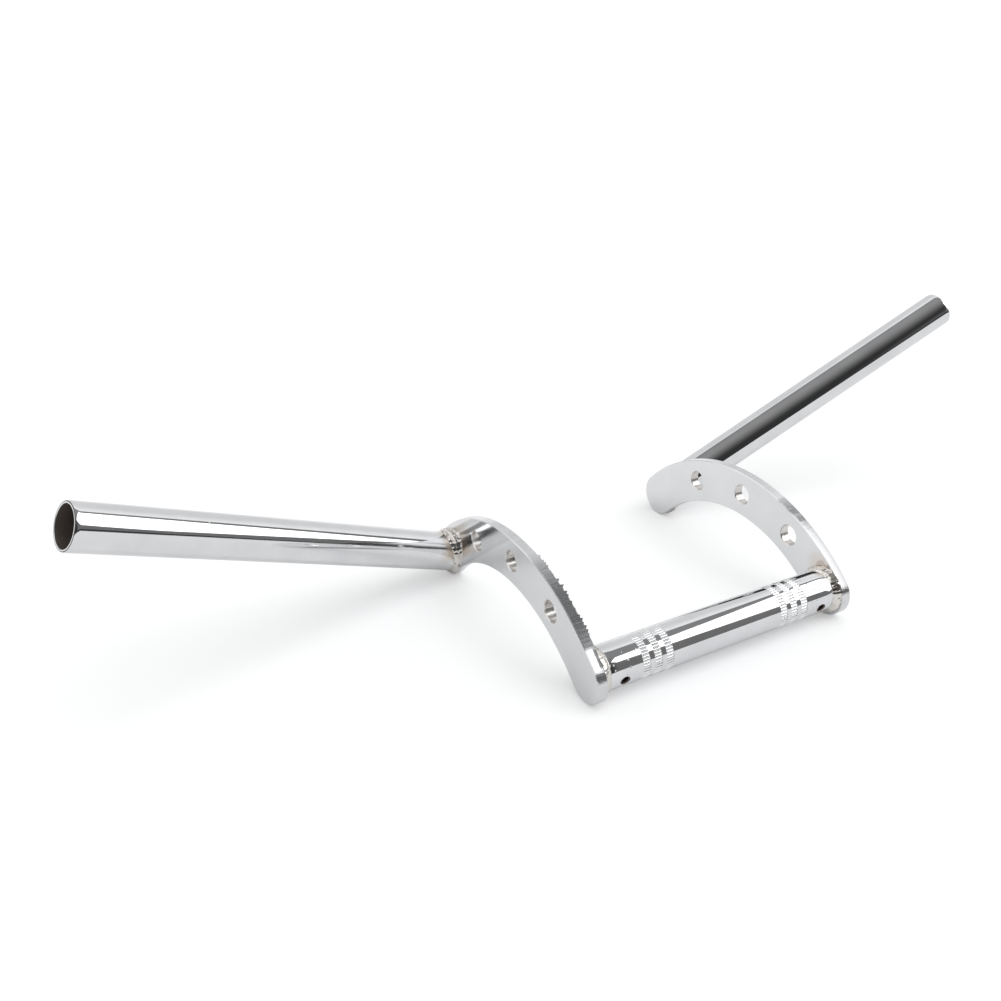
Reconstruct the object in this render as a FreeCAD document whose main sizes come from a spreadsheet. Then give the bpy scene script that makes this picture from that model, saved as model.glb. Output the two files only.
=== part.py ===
import FreeCAD, Part
import math
import os
import Sketcher

# Z-bar handlebar: a clamp bar between two arched riser plates, with a grip tube welded to the
# outside of each plate. X runs along the clamp bar towards the right-hand grip, Y from the clamp
# bar towards the grips, Z up as the bar stands on the ends of its plates. The origin is the
# middle of the clamp bar, on its axis.

# Driving dimensions, in millimetres and degrees
SIZES = {
    "bar_diameter": 25.4,        # clamp bar, outside
    "bar_wall": 1.65,
    "inside_width": 167.0,       # clamp bar length, between the plates
    "band_spacing": 97.2,        # middle of one knurled band to the middle of the other
    "ring_count": 3,             # knurled rings in a band
    "ring_width": 4.6,
    "ring_gap": 3.1,             # plain bar between two rings
    "ridge_count": 42,           # straight ridges round a ring
    "groove_depth": 0.45,        # between two ridges
    "vent_diameter": 5.0,
    "vent_inset": 13.2,          # vent hole from the plate's inner face
    "vent_angle": 14.8,          # vent hole below level, on the front of the bar
    "plate_thickness": 6.35,
    "plate_width": 29.2,
    "arch_radius": 116.4,        # middle line of the plate
    "grip_offset": 162.8,        # clamp bar axis to grip axis, where the grip meets the plate
    "bar_end_reach": 2.0,        # end of the plate's middle line past the clamp bar axis
    "grip_end_reach": 2.5,       # the same past the grip axis
    "hole_count": 3,             # drilled holes along the plate
    "hole_diameter": 12.7,
    "hole_pitch": 22.4,          # angle between two holes about the arch's centre
    "hole_shift": 2.6,           # row of holes off the top of the arch, towards the clamp bar
    "plate_edge": 0.5,           # chamfer on the plate's edges
    "grip_diameter": 25.4,       # grip tubes, outside
    "grip_wall": 1.65,
    "grip_length": 254.0,        # plate's outer face to the open end, along the axis
    "grip_splay": 28.1,          # angle of both grips off the bar's direction
    "left_grip_turn": 29.9,      # from straight up, back towards the clamp bar
    "right_grip_turn": 17.8,     # the same on the right, where it is welded on more upright
    "tube_edge": 0.4,            # broken edges at the open end
    "bar_weld_leg": 3.5,         # bead along the clamp bar
    "bar_weld_rise": 1.9,        # bead up the plate
    "bar_bevel": 1.1,            # depth of the clamp bar's bevel under the bead
    "grip_weld_leg": 5.0,        # bead out from the plate
    "grip_weld_rise": 1.6,       # bead across the plate
    "grip_weld_toe": 0.2,        # thickness of the bead where it ends on the tube
}
SIDES = (("left", -1), ("right", 1))
FULL_TURN = 360.0
SHAPE_TOLERANCE = 1e-6

doc = FreeCAD.newDocument("ZBarHandlebar")
sheet = doc.addObject("Spreadsheet::Sheet", "Sizes")
for row, (alias, number) in enumerate(SIZES.items(), start=1):
    sheet.set(f"A{row}", alias)
    sheet.set(f"B{row}", str(number))
    sheet.setAlias(f"B{row}", alias)
doc.recompute()


def size(alias):
    return float(sheet.get(alias))


def origin_part(body, role):
    return next(part for part in body.Origin.OriginFeatures if part.Role == role)


def new_sketch(body, name, plane):
    sketch = body.newObject("Sketcher::SketchObject", name)
    sketch.AttachmentSupport = [(origin_part(body, plane), "")]
    sketch.MapMode = "FlatFace"
    return sketch


def bind(sketch, kind, *places, formula, start=1.0):
    """Add a dimension to a sketch and tie it to a formula of the sheet's cells."""
    index = sketch.addConstraint(Sketcher.Constraint(kind, *places, start))
    sketch.setExpression(f"Constraints[{index}]", formula)


def closed_outline(sketch, corners):
    """Straight-sided outline whose corners are pairs of formulas, x and y from the origin."""
    count = len(corners)
    starts = [
        FreeCAD.Vector(math.cos(math.tau * k / count), math.sin(math.tau * k / count), 0)
        for k in range(count)
    ]
    for k in range(count):
        sketch.addGeometry(Part.LineSegment(starts[k], starts[(k + 1) % count]))
    for k, (x_formula, y_formula) in enumerate(corners):
        sketch.addConstraint(Sketcher.Constraint("Coincident", k - 1 if k else count - 1, 2, k, 1))
        bind(sketch, "DistanceX", -1, 1, k, 1, formula=x_formula)
        bind(sketch, "DistanceY", -1, 1, k, 1, formula=y_formula)


def revolve(body, name, sketch):
    turned = body.newObject("PartDesign::Revolution", name)
    turned.Profile = sketch
    turned.ReferenceAxis = (origin_part(body, "X_Axis"), [""])
    turned.Angle = FULL_TURN
    return turned


# Clamp bar: a tube bevelled for its welds, with two knurled bands and two vent holes
def make_clamp_bar():
    body = doc.addObject("PartDesign::Body", "ClampBar")
    half, outer = "Sizes.inside_width / 2", "Sizes.bar_diameter / 2"
    inner = f"{outer} - Sizes.bar_wall"
    nose = f"{outer} - Sizes.bar_bevel"
    wall = new_sketch(body, "BarWall", "XY_Plane")
    closed_outline(wall, [
        (f"-({half})", inner),
        (f"-({half})", nose),
        (f"-({half}) + Sizes.bar_weld_leg", outer),
        (f"{half} - Sizes.bar_weld_leg", outer),
        (half, nose),
        (half, inner),
    ])
    revolve(body, "BarTube", wall)

    vents = new_sketch(body, "VentCircles", "XZ_Plane")
    for index, sign in enumerate(("-", "")):
        vents.addGeometry(Part.Circle(FreeCAD.Vector(index, 0, 0), FreeCAD.Vector(0, 0, 1), 1))
        vents.addConstraint(Sketcher.Constraint("PointOnObject", index, 3, -1))
        bind(vents, "DistanceX", -1, 1, index, 3, formula=f"{sign}({half} - Sizes.vent_inset)")
        bind(vents, "Diameter", index, formula="Sizes.vent_diameter")
    vent_cut = body.newObject("PartDesign::Pocket", "Vents")
    vent_cut.Profile = vents
    vent_cut.Reversed = True
    vent_cut.setExpression("Length", "Sizes.bar_diameter")

    ring_step = "(Sizes.ring_width + Sizes.ring_gap)"
    rings_length = f"(Sizes.ring_count - 1) * {ring_step}"
    first_ring = f"Sizes.band_spacing / 2 - ({rings_length} + Sizes.ring_width) / 2"
    groove = new_sketch(body, "GrooveSection", "YZ_Plane")
    groove.setExpression("AttachmentOffset.Base.z", first_ring)
    closed_outline(groove, [
        (f"{outer} - Sizes.groove_depth", "0"),
        (f"{outer} + Sizes.groove_depth", "-2 * Sizes.groove_depth"),
        (f"{outer} + Sizes.groove_depth", "2 * Sizes.groove_depth"),
    ])
    groove_cut = body.newObject("PartDesign::Pocket", "Groove")
    groove_cut.Profile = groove
    groove_cut.Reversed = True
    groove_cut.setExpression("Length", "Sizes.ring_width")

    knurl = body.newObject("PartDesign::MultiTransform", "Knurl")
    around = body.newObject("PartDesign::PolarPattern", "RoundTheRing")
    around.Axis = (origin_part(body, "X_Axis"), [""])
    around.Angle = FULL_TURN
    around.setExpression("Occurrences", "Sizes.ridge_count")
    along = body.newObject("PartDesign::LinearPattern", "AlongTheBand")
    along.Direction = (origin_part(body, "X_Axis"), [""])
    along.setExpression("Length", rings_length)
    along.setExpression("Occurrences", "Sizes.ring_count")
    across = body.newObject("PartDesign::Mirrored", "OtherBand")
    across.MirrorPlane = (origin_part(body, "YZ_Plane"), [""])
    knurl.Originals = [groove_cut]
    knurl.Transformations = [around, along, across]
    body.Tip = knurl
    body.Placement.Rotation = FreeCAD.Rotation(FreeCAD.Vector(1, 0, 0), size("vent_angle"))
    body.Label = "clamp_bar"
    return body


# Riser plate: its body's origin is the centre of the arch, and it is padded along X
def plate_outline(sketch):
    mid, half_width = size("arch_radius"), size("plate_width") / 2
    half_span = math.asin(size("grip_offset") / 2 / mid)
    bar_end = math.pi / 2 + half_span + size("bar_end_reach") / mid
    grip_end = math.pi / 2 - half_span - size("grip_end_reach") / mid
    flat = FreeCAD.Vector(0, 0, 1)
    centre = FreeCAD.Vector(0, 0, 0)

    def along_arch(angle):
        return FreeCAD.Vector(mid * math.cos(angle), mid * math.sin(angle), 0)

    arcs = [
        (centre, mid + half_width, grip_end, bar_end),
        (along_arch(bar_end), half_width, bar_end, bar_end + math.pi),
        (centre, mid - half_width, grip_end, bar_end),
        (along_arch(grip_end), half_width, grip_end - math.pi, grip_end),
    ]
    for middle, radius, start, end in arcs:
        sketch.addGeometry(Part.ArcOfCircle(Part.Circle(middle, flat, radius), start, end))
    outer, bar_round, inner, grip_round = range(len(arcs))
    for arc in (outer, inner):
        sketch.addConstraint(Sketcher.Constraint("Coincident", arc, 3, -1, 1))
    for arc, arc_end, other, other_end in (
        (outer, 2, bar_round, 1),
        (bar_round, 2, inner, 2),
        (inner, 1, grip_round, 1),
        (grip_round, 2, outer, 1),
    ):
        sketch.addConstraint(Sketcher.Constraint("Tangent", arc, arc_end, other, other_end))
    bind(sketch, "Radius", outer, formula="Sizes.arch_radius + Sizes.plate_width / 2",
         start=mid + half_width)
    bind(sketch, "Radius", inner, formula="Sizes.arch_radius - Sizes.plate_width / 2",
         start=mid - half_width)
    for arc, end, sign, reach in ((bar_round, bar_end, "-", "bar_end_reach"),
                                  (grip_round, grip_end, "", "grip_end_reach")):
        angle = ("acos(Sizes.grip_offset / 2 / Sizes.arch_radius)"
                 f" - Sizes.{reach} / Sizes.arch_radius * 1 rad")
        bind(sketch, "DistanceX", -1, 1, arc, 3, formula=f"{sign}Sizes.arch_radius * cos({angle})",
             start=along_arch(end).x)


def rim_edges(shape):
    """Names of the edges that lie flat on the plate's two faces."""
    return [
        f"Edge{number}"
        for number, edge in enumerate(shape.Edges, start=1)
        if edge.BoundBox.XLength < SHAPE_TOLERANCE
    ]


def make_riser_plate(side, sign):
    body = doc.addObject("PartDesign::Body", f"{side.title()}RiserPlate")
    outline = new_sketch(body, f"{side.title()}PlateOutline", "YZ_Plane")
    plate_outline(outline)
    plate = body.newObject("PartDesign::Pad", f"{side.title()}Plate")
    plate.Profile = outline
    plate.setExpression("Length", "Sizes.plate_thickness")

    row_angle = "(Sizes.hole_count - 1) * Sizes.hole_pitch"
    first_hole = f"90 + Sizes.hole_shift - {row_angle} / 2"
    circle = new_sketch(body, f"{side.title()}HoleCircle", "YZ_Plane")
    circle.addGeometry(Part.Circle(FreeCAD.Vector(1, 1, 0), FreeCAD.Vector(0, 0, 1), 1))
    bind(circle, "DistanceX", -1, 1, 0, 3, formula=f"Sizes.arch_radius * cos({first_hole})")
    bind(circle, "DistanceY", -1, 1, 0, 3, formula=f"Sizes.arch_radius * sin({first_hole})")
    bind(circle, "Diameter", 0, formula="Sizes.hole_diameter")
    hole = body.newObject("PartDesign::Pocket", f"{side.title()}Hole")
    hole.Profile = circle
    hole.Reversed = True
    hole.setExpression("Length", "Sizes.plate_thickness")

    holes = body.newObject("PartDesign::PolarPattern", f"{side.title()}Holes")
    holes.Originals = [hole]
    holes.Axis = (origin_part(body, "X_Axis"), [""])
    holes.setExpression("Angle", row_angle)
    holes.setExpression("Occurrences", "Sizes.hole_count")
    body.Tip = holes
    doc.recompute()

    edges = body.newObject("PartDesign::Chamfer", f"{side.title()}PlateEdges")
    edges.Base = (holes, rim_edges(holes.Shape))
    edges.setExpression("Size", "Sizes.plate_edge")
    body.Tip = edges

    inner_face = f"{sign} * Sizes.inside_width / 2"
    body.setExpression("Placement.Base.x",
                       inner_face if sign > 0 else f"{inner_face} - Sizes.plate_thickness")
    body.setExpression("Placement.Base.y", "Sizes.grip_offset / 2")
    body.setExpression("Placement.Base.z",
                       "-sqrt(Sizes.arch_radius ^ 2 - (Sizes.grip_offset / 2) ^ 2)")
    body.Label = f"{side}_riser_plate"
    return body


# Grip tube: turned about X, swung to its splay and turn, and cut off at the plate's outer face
OUTER_FACE = "(Sizes.inside_width / 2 + Sizes.plate_thickness)"


def grip_direction(side, sign):
    splay = math.radians(size("grip_splay"))
    turn = math.radians(size(f"{side}_grip_turn"))
    return FreeCAD.Vector(sign * math.cos(splay), -math.sin(splay) * math.sin(turn),
                          math.sin(splay) * math.cos(turn))


def seat_on_plate(item, sign):
    """Put an item's origin where the grip's axis meets the plate's outer face."""
    item.setExpression("Placement.Base.x", f"{sign} * {OUTER_FACE}")
    item.setExpression("Placement.Base.y", "Sizes.grip_offset")


def boolean_cut(name, base, tool, label):
    cut = doc.addObject("Part::Cut", name)
    cut.Base = base
    cut.Tool = tool
    cut.Label = label
    return cut


def make_grip_tube(side, sign):
    body = doc.addObject("PartDesign::Body", f"{side.title()}GripStock")
    outer, inner = "Sizes.grip_diameter / 2", "Sizes.grip_diameter / 2 - Sizes.grip_wall"
    wall = new_sketch(body, f"{side.title()}GripWall", "XY_Plane")
    closed_outline(wall, [
        ("-Sizes.grip_diameter", inner),
        ("Sizes.grip_length - Sizes.tube_edge", inner),
        ("Sizes.grip_length", f"{inner} + Sizes.tube_edge"),
        ("Sizes.grip_length", f"{outer} - Sizes.tube_edge"),
        ("Sizes.grip_length - Sizes.tube_edge", outer),
        ("-Sizes.grip_diameter", outer),
    ])
    revolve(body, f"{side.title()}GripTurned", wall)
    body.Placement.Rotation = FreeCAD.Rotation(FreeCAD.Vector(1, 0, 0), grip_direction(side, sign))
    seat_on_plate(body, sign)

    inboard = doc.addObject("Part::Box", f"{side.title()}Inboard")
    for length in ("Length", "Width", "Height"):
        inboard.setExpression(length, "4 * Sizes.grip_diameter")
    inboard.setExpression("Placement.Base.x",
                          f"{sign} * {OUTER_FACE} - {2 * (1 + sign)} * Sizes.grip_diameter")
    inboard.setExpression("Placement.Base.y", "Sizes.grip_offset - 2 * Sizes.grip_diameter")
    inboard.setExpression("Placement.Base.z", "-2 * Sizes.grip_diameter")
    return boolean_cut(f"{side.title()}GripTube", body, inboard, f"{side}_grip_tube")


# Weld bead round an end of the clamp bar, from the bevel out to the plate's inner face
def make_bar_weld(side, sign):
    body = doc.addObject("PartDesign::Body", f"{side.title()}BarWeld")
    face, outer = f"{sign} * Sizes.inside_width / 2", "Sizes.bar_diameter / 2"
    bead = new_sketch(body, f"{side.title()}BarBead", "XY_Plane")
    closed_outline(bead, [
        (f"{face} - {sign} * Sizes.bar_weld_leg", outer),
        (face, f"{outer} - Sizes.bar_bevel"),
        (face, f"{outer} + Sizes.bar_weld_rise"),
    ])
    revolve(body, f"{side.title()}BarBeadTurned", bead)
    body.Label = f"{side}_bar_weld"
    return body


# Weld bead round a grip tube: a skirt from an oval on the plate to a smaller oval on the tube
def make_grip_weld(side, sign):
    along = grip_direction(side, sign)
    slope = math.atan2(along.z, along.y)
    major = FreeCAD.Vector(0, math.cos(slope), math.sin(slope))
    minor = FreeCAD.Vector(0, -math.sin(slope), math.cos(slope))
    normal = FreeCAD.Vector(1, 0, 0)
    stretch = 1 / abs(along.x)
    ovals = []
    for name, out, margin in (
        ("Foot", "0", "Sizes.grip_weld_rise"),
        ("Toe", "Sizes.grip_weld_leg", "Sizes.grip_weld_toe"),
    ):
        oval = doc.addObject("Part::Ellipse", f"{side.title()}Grip{name}")
        oval.setExpression("MajorRadius", f"Sizes.grip_diameter / 2 * {stretch} + {margin}")
        oval.setExpression("MinorRadius", f"Sizes.grip_diameter / 2 + {margin}")
        oval.Placement.Rotation = FreeCAD.Rotation(major, minor, normal, "XYZ")
        oval.setExpression("Placement.Base.x", f"{sign} * ({OUTER_FACE} + {out})")
        oval.setExpression("Placement.Base.y", f"Sizes.grip_offset + {out} * {along.y * stretch}")
        oval.setExpression("Placement.Base.z", f"{out} * {along.z * stretch}")
        ovals.append(oval)
    skirt = doc.addObject("Part::Loft", f"{side.title()}GripSkirt")
    skirt.Sections = ovals
    skirt.Solid = True
    skirt.Ruled = True

    tube = doc.addObject("Part::Cylinder", f"{side.title()}GripSpace")
    tube.setExpression("Radius", "Sizes.grip_diameter / 2")
    tube.setExpression("Height", "Sizes.grip_diameter + Sizes.grip_length")
    tube.Placement.Rotation = FreeCAD.Rotation(FreeCAD.Vector(0, 0, 1), along)
    for axis, part, middle in (("x", along.x, f"{sign} * {OUTER_FACE}"),
                               ("y", along.y, "Sizes.grip_offset"), ("z", along.z, "0")):
        tube.setExpression(f"Placement.Base.{axis}", f"{middle} - {part} * Sizes.grip_diameter")
    return boolean_cut(f"{side.title()}GripWeld", skirt, tube, f"{side}_grip_weld")


nodes = [make_clamp_bar()]
for side, sign in SIDES:
    nodes.append(make_riser_plate(side, sign))
    nodes.append(make_grip_tube(side, sign))
    nodes.append(make_bar_weld(side, sign))
    nodes.append(make_grip_weld(side, sign))
doc.recompute()

for item in doc.Objects:
    if "Invalid" in item.State or "Error" in item.State:
        raise RuntimeError(f"{item.Label} failed: {item.State}")
for node in nodes:
    if node.Shape.isNull() or not node.Shape.isValid() or len(node.Shape.Solids) != 1:
        raise RuntimeError(f"{node.Label} is not one valid solid")

os.makedirs("parts", exist_ok=True)
for node in nodes:
    node.Shape.exportStep(f"parts/{node.Label}.step")
    print(f"{node.Label}: {node.Shape.Volume / 1000:.2f} cm3")
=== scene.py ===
import math
import random
import bmesh
import bpy
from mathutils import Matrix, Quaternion, Vector


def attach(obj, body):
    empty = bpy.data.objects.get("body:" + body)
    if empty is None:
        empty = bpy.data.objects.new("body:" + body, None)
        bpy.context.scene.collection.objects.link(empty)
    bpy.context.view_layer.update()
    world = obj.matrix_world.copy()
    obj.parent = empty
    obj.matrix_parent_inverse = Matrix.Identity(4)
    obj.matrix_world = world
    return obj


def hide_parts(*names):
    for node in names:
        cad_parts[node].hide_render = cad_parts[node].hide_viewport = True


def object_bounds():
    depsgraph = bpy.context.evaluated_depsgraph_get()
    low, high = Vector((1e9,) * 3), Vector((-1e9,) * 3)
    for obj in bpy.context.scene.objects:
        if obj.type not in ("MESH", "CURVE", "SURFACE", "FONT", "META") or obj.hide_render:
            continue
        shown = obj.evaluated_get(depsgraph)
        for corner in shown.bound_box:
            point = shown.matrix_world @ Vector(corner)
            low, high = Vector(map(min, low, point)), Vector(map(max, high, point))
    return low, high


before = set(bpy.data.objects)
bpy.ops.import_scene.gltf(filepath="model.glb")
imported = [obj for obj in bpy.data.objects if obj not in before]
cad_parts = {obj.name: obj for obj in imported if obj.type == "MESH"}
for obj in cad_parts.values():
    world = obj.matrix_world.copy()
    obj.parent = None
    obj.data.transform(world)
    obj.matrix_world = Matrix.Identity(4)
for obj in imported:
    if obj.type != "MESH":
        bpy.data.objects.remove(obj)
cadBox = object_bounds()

mm = 0.001
sides = {"left": -1, "right": 1}
print("frame loaded:", ", ".join(sorted(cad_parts)))

# where the pieces meet, shared by all of them
layout = {
    "innerFace": 83.5 * mm,        # plate's inner face from the middle
    "outerFace": 89.85 * mm,
    "gripOffset": 162.8 * mm,      # clamp bar axis to grip axis at the plate
    "gripSplay": math.radians(28.1),
    "gripTurn": {-1: math.radians(29.9), 1: math.radians(17.8)},
    "archCentre": Vector((0, 81.4, -83.205)) * mm,
}


def gripAxis(side):
    splay, turn = layout["gripSplay"], layout["gripTurn"][side]
    away = math.sin(splay)
    return Vector((side * math.cos(splay), -away * math.sin(turn), away * math.cos(turn)))


def gripFoot(side):
    return Vector((side * layout["outerFace"], layout["gripOffset"], 0))


# node helpers
def addNode(tree, kind, inputs=None, **settings):
    made = tree.nodes.new(kind)
    for key, value in settings.items():
        setattr(made, key, value)
    for key, value in (inputs or {}).items():
        if isinstance(value, bpy.types.NodeSocket):
            tree.links.new(value, made.inputs[key])
        else:
            made.inputs[key].default_value = value
    return made


def geoNode(tree, kind, inputs=None, **settings):
    return addNode(tree, "GeometryNode" + kind, inputs, **settings).outputs[0]


def mathNode(tree, operation, a, b=0.0, c=0.0):
    return addNode(tree, "ShaderNodeMath", {0: a, 1: b, 2: c}, operation=operation).outputs[0]


def vectorNode(tree, operation, a, b=(0, 0, 0)):
    return addNode(tree, "ShaderNodeVectorMath", {0: a, 1: b}, operation=operation).outputs


def xyz(tree, vector):
    return addNode(tree, "ShaderNodeSeparateXYZ", {0: vector}).outputs


def remap(tree, value, low, high, toLow, toHigh, smooth=False):
    kind = "SMOOTHSTEP" if smooth else "LINEAR"
    ports = {"Value": value, "From Min": low, "From Max": high, "To Min": toLow, "To Max": toHigh}
    return addNode(tree, "ShaderNodeMapRange", ports, interpolation_type=kind).outputs["Result"]


def noise(tree, vector, scale, detail=3.0, rough=0.5):
    ports = {"Vector": vector, "Scale": scale, "Detail": detail, "Roughness": rough}
    return addNode(tree, "ShaderNodeTexNoise", ports).outputs["Fac"]


def mixColour(tree, factor, a, b):
    # sockets 6, 7 and output 2 are the colour ones
    return addNode(tree, "ShaderNodeMix", {0: factor, 6: a, 7: b}, data_type="RGBA").outputs[2]


def bump(tree, height, distance, under=None):
    ports = {"Height": height, "Distance": distance, "Strength": 1.0}
    if under is not None:
        ports["Normal"] = under
    return addNode(tree, "ShaderNodeBump", ports).outputs["Normal"]


def allOf(tree, *masks):
    whole = masks[0]
    for mask in masks[1:]:
        whole = mathNode(tree, "MULTIPLY", whole, mask)
    return whole


def grey(level, warm=0.0):
    return (level * (1 + warm), level, level * (1 - warm), 1)


# chrome: cloudy plating, slow waves in the steel, fine grain, saw marks, painted reflection patches on the
# plate rims, pits and heat colour by the welds
plating = {
    "cloudDetail": 4.0, "cloudRough": 0.6, "cloudSpan": (0.3, 0.7),
    "waveDetail": 1.0,
    "grainDetail": 3.0, "grainRough": 0.65,
    "sawDetail": 4.0, "sawRough": 0.7,
    "stainSpan": (0.35, 0.7),      # how strong a saw mark has to be to stain the edge
    "streakSpan": (0.25, 0.6),     # and to break up a painted reflection patch
    "pitEdge": 0.02, "pitFloor": 0.55, "pitFade": 4 * mm,
    "tintScale": 160.0, "tintDetail": 4.0, "tintCore": (1.12, 0.92),
}


def metalMaterial(name, metal):
    mat = bpy.data.materials.new(name)
    mat.use_nodes = True
    tree = mat.node_tree
    tree.nodes["Principled BSDF"].inputs["Metallic"].default_value = metal
    return mat, tree, addNode(tree, "ShaderNodeTexCoord").outputs["Object"]


def wireShader(tree, colour, rough, normal):
    ports = tree.nodes["Principled BSDF"].inputs
    for label, socket in (("Base Color", colour), ("Roughness", rough), ("Normal", normal)):
        tree.links.new(socket, ports[label])


def chromeFinish(name, look):
    mat, tree, coords = metalMaterial(name, 1.0)
    cloud = noise(tree, coords, look["cloudScale"], plating["cloudDetail"], plating["cloudRough"])
    colour = mixColour(tree, remap(tree, cloud, *plating["cloudSpan"], 0, 1), look["shade"], look["bright"])
    rough = remap(tree, cloud, *plating["cloudSpan"], *look["polish"])
    waves = noise(tree, coords, look["waveScale"], plating["waveDetail"])
    grain = noise(tree, coords, look["grainScale"], plating["grainDetail"], plating["grainRough"])
    normal = bump(tree, grain, look["grainHeight"], bump(tree, waves, look["waveHeight"]))
    if "sawn" in look:
        saw = look["sawn"]
        normal, mark, reflectionMasks = sawnMarksAndPaintedReflection(tree, coords, saw, normal)
        stain = remap(tree, mark, *plating["stainSpan"], 0.0, saw["stain"])
        colour = mixColour(tree, stain, colour, saw["colour"])
        # painted reflection: dark and pale grey patches laid into the rim's colour, chosen under the studio
        # light
        for patch, reflectionMask in zip(saw["paintedReflectionPatches"], reflectionMasks):
            colour, rough = pitsAndPaintedReflection(tree, reflectionMask, patch, colour, rough)
    if "pits" in look:
        normal, pitted = platingPits(tree, coords, look["pits"], normal)
        colour, rough = pitsAndPaintedReflection(tree, pitted, look["pits"], colour, rough)
    for spot in look.get("heat", []):
        colour, rough = heatColour(tree, coords, spot, colour, rough)
    wireShader(tree, colour, rough, normal)
    return mat


def pitsAndPaintedReflection(tree, mask, spot, colour, rough):
    # the spot's own colour, and at least its dullness: a pit's real colour, or a patch of painted
    # reflection on a rim
    dull = mathNode(tree, "MULTIPLY", mask, spot["dull"])
    return mixColour(tree, mask, colour, spot["colour"]), mathNode(tree, "MAXIMUM", rough, dull)


def sawnMarksAndPaintedReflection(tree, coords, saw, normal):
    # marks run across the edge, so the noise is stretched along X and packed along the arch
    part = xyz(tree, vectorNode(tree, "SUBTRACT", coords, layout["archCentre"])[0])
    angle = mathNode(tree, "ARCTAN2", part["Z"], part["Y"])
    along = mathNode(tree, "MULTIPLY", angle, saw["radius"] * saw["perMetre"])
    across = mathNode(tree, "MULTIPLY", part["X"], saw["perMetre"] * saw["stretch"])
    lines = addNode(tree, "ShaderNodeCombineXYZ", {"X": along, "Y": across}).outputs[0]
    mark = noise(tree, lines, 1.0, plating["sawDetail"], plating["sawRough"])
    reflectionMasks = []
    # masks of the painted reflection patches, each on one plate and broken up by the saw marks
    for patch in saw["paintedReflectionPatches"]:
        start, full, fading, end = [math.radians(degree) for degree in patch["degrees"]]
        depth = [layout["innerFace"] + reach for reach in patch["across"]]
        outward = mathNode(tree, "MULTIPLY", part["X"], patch["side"])
        reflectionMasks.append(allOf(tree,
                           remap(tree, angle, start, full, 0, 1, True),
                           remap(tree, angle, end, fading, 0, 1, True),
                           remap(tree, outward, 0, mm, 0, 1),  # this plate only
                           remap(tree, outward, *depth, 0, 1),
                           remap(tree, mark, *plating["streakSpan"], 1.0, patch["streak"])))
    return bump(tree, mark, saw["depth"], normal), mark, reflectionMasks


def platingPits(tree, coords, pit, normal):
    cells = addNode(tree, "ShaderNodeTexVoronoi", {"Vector": coords, "Scale": pit["perMetre"]}).outputs
    draw = addNode(tree, "ShaderNodeSeparateColor", {0: cells["Color"]}).outputs[0]
    fewest = 1 - pit["share"]
    rare = remap(tree, draw, fewest, fewest + plating["pitEdge"], 0, 1)
    dot = remap(tree, cells["Distance"], pit["size"], pit["size"] * plating["pitFloor"], 0, 1, True)
    mask = mathNode(tree, "MULTIPLY", rare, dot)
    if "fromX" in pit:
        offMiddle = mathNode(tree, "ABSOLUTE", xyz(tree, coords)["X"])
        ends = remap(tree, offMiddle, pit["fromX"], pit["fromX"] + plating["pitFade"], 0, 1)
        mask = mathNode(tree, "MULTIPLY", mask, ends)
    return bump(tree, mathNode(tree, "SUBTRACT", 1.0, mask), pit["depth"], normal), mask


def heatColour(tree, coords, spot, colour, rough):
    gap = vectorNode(tree, "DISTANCE", coords, spot["centre"])["Value"]
    wander = noise(tree, coords, plating["tintScale"], plating["tintDetail"])
    ragged = mathNode(tree, "MULTIPLY_ADD", wander, spot["ragged"], gap)
    part = xyz(tree, coords)
    offMiddle = mathNode(tree, "ABSOLUTE", part["X"])
    shown = allOf(tree, remap(tree, offMiddle, spot["fromX"], spot["toX"], 0, spot["strength"]),
                  remap(tree, part["Z"], spot["fromZ"], spot["toZ"], 0, 1, True))
    near = allOf(tree, shown, remap(tree, ragged, spot["reach"], spot["core"], 0, 1, True))
    low, high = [spot["core"] * share for share in plating["tintCore"]]
    core = allOf(tree, shown, remap(tree, ragged, low, high, 0, 1, True))
    rough = mathNode(tree, "MAXIMUM", rough, mathNode(tree, "MULTIPLY", near, spot["dull"]))
    return mixColour(tree, core, mixColour(tree, near, colour, spot["straw"]), spot["brown"]), rough


heatTint = {
    "foot": {                      # straw and brown round the foot of each grip, on the outer side only
        "ragged": 6 * mm, "fromZ": -1 * mm, "toZ": 6 * mm,
        "fromX": layout["outerFace"] - 1.5 * mm, "toX": layout["outerFace"] - 0.4 * mm,
        "straw": (0.64, 0.53, 0.41, 1), "brown": (0.30, 0.22, 0.16, 1),
    },
    "bar": {                       # a rosy bloom above the clamp bar, on the inner side only
        "ragged": 5 * mm, "fromZ": -9 * mm, "toZ": 3 * mm, "dull": 0.3,
        "fromX": layout["innerFace"] + 1.5 * mm, "toX": layout["innerFace"] + 0.4 * mm,
        "straw": (0.78, 0.69, 0.62, 1), "brown": (0.55, 0.45, 0.39, 1),
    },
    "barMiddle": (3 * mm, 13 * mm),
}


def footHeat(reach, core, strength, dull):
    spot = {**heatTint["foot"], "reach": reach, "core": core, "strength": strength, "dull": dull}
    return [{**spot, "centre": gripFoot(side)} for side in sides.values()]


def barHeat(reach, core, strength):
    spot = {**heatTint["bar"], "reach": reach, "core": core, "strength": strength}
    centres = [Vector((side * layout["innerFace"], *heatTint["barMiddle"])) for side in sides.values()]
    return [{**spot, "centre": centre} for centre in centres]


def dullFinish(name, look):
    # bare, unpolished steel inside the tubes
    mat, tree, coords = metalMaterial(name, look["metal"])
    blotch = noise(tree, coords, look["scale"], look["detail"], look["grit"])
    colour = mixColour(tree, remap(tree, blotch, *look["colourSpan"], 0, 1), look["dark"], look["rust"])
    rough = remap(tree, blotch, *look["polishSpan"], *look["polish"])
    grain = noise(tree, coords, look["grainScale"])
    wireShader(tree, colour, rough, bump(tree, grain, look["grainHeight"]))
    return mat


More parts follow.
